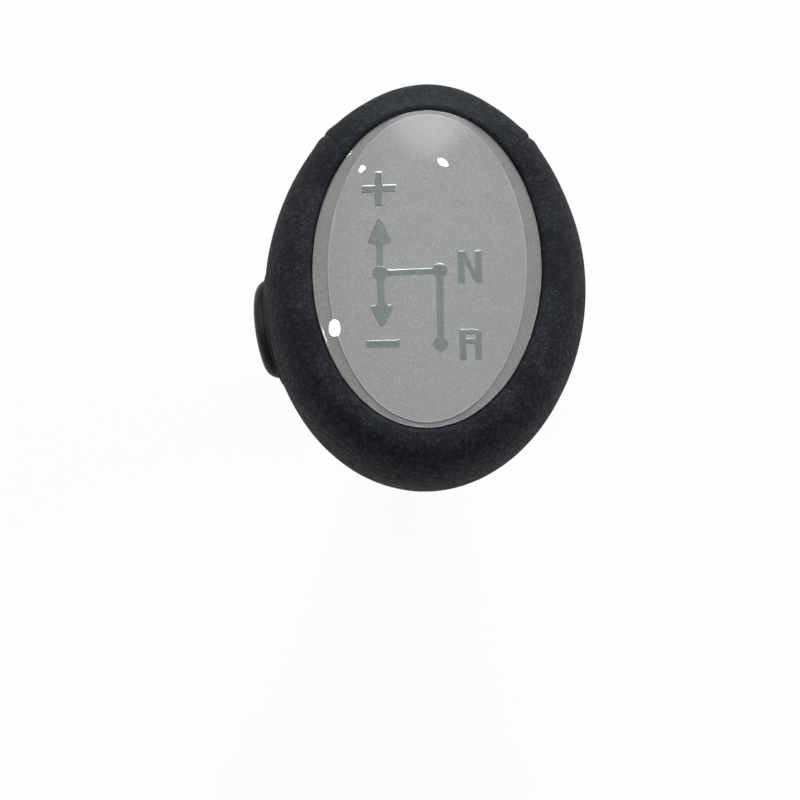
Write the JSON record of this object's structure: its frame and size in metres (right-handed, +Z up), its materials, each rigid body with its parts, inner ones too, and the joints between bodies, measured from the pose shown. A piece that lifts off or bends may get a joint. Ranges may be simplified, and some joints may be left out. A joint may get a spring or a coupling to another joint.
{
  "type": "gear selector lever",
  "caption": "Leather-covered gear selector lever knob on a short stem, with a domed silver gate badge and a sprung thumb button.",
  "frame": {"origin": "mouth of the rod socket, on the stem's axis at its lower end", "axes": "+Z up along the stem, +Y forward, -X the button's side"},
  "size_m": [0.0587, 0.0716, 0.1158],
  "materials": {
    "stem_steel": "satin black",
    "bush_plastic": "natural",
    "pin_steel": "oiled",
    "collar_plastic": "fine grain",
    "core_plastic": "moulded",
    "leather": "pebbled",
    "badge_silver": "silver paint",
    "badge_clear": "clear gloss",
    "bezel_plastic": "satin",
    "button_plastic": "satin",
    "spring_steel": "drawn wire",
    "holder_plastic": "moulded",
    "screw_steel": "zinc plated",
    "switch_plastic": "moulded",
    "plunger_plastic": "moulded",
    "terminal_brass": "tinned",
    "grommet_rubber": "moulded"
  },
  "bodies": {
    "lever": {"lever_tube": "stem_steel", "lever_bush": "bush_plastic", "retaining_pin": "pin_steel", "neck_ring": "collar_plastic", "knob_core": "core_plastic", "leather_front_panel": "leather", "leather_rear_panel": "leather", "badge_plate": "badge_silver", "badge_lens": "badge_clear", "button_bezel": "bezel_plastic", "return_spring": "spring_steel", "switch_holder": "holder_plastic", "holder_screws": "screw_steel", "switch_body": "switch_plastic", "switch_terminals": "terminal_brass", "lead_grommet": "grommet_rubber"},
    "button": {"button_cap": "button_plastic"},
    "switch_plunger": {"switch_plunger": "plunger_plastic"}
  },
  "joints": [
    {"name": "button_press", "type": "slide", "parent": "lever", "child": "button", "axis": [1, 0, 0], "range_m": [0, 0.002], "stiffness_N_per_m": 600, "springref_m": -0.004, "deforming": ["return_spring"]},
    {"name": "switch_press", "type": "slide", "parent": "lever", "child": "switch_plunger", "axis": [1, 0, 0], "range_m": [0, 0.002]}
  ],
  "couplings": [
    {"joint": "switch_press", "follows": "button_press", "ratio": 1}
  ]
}
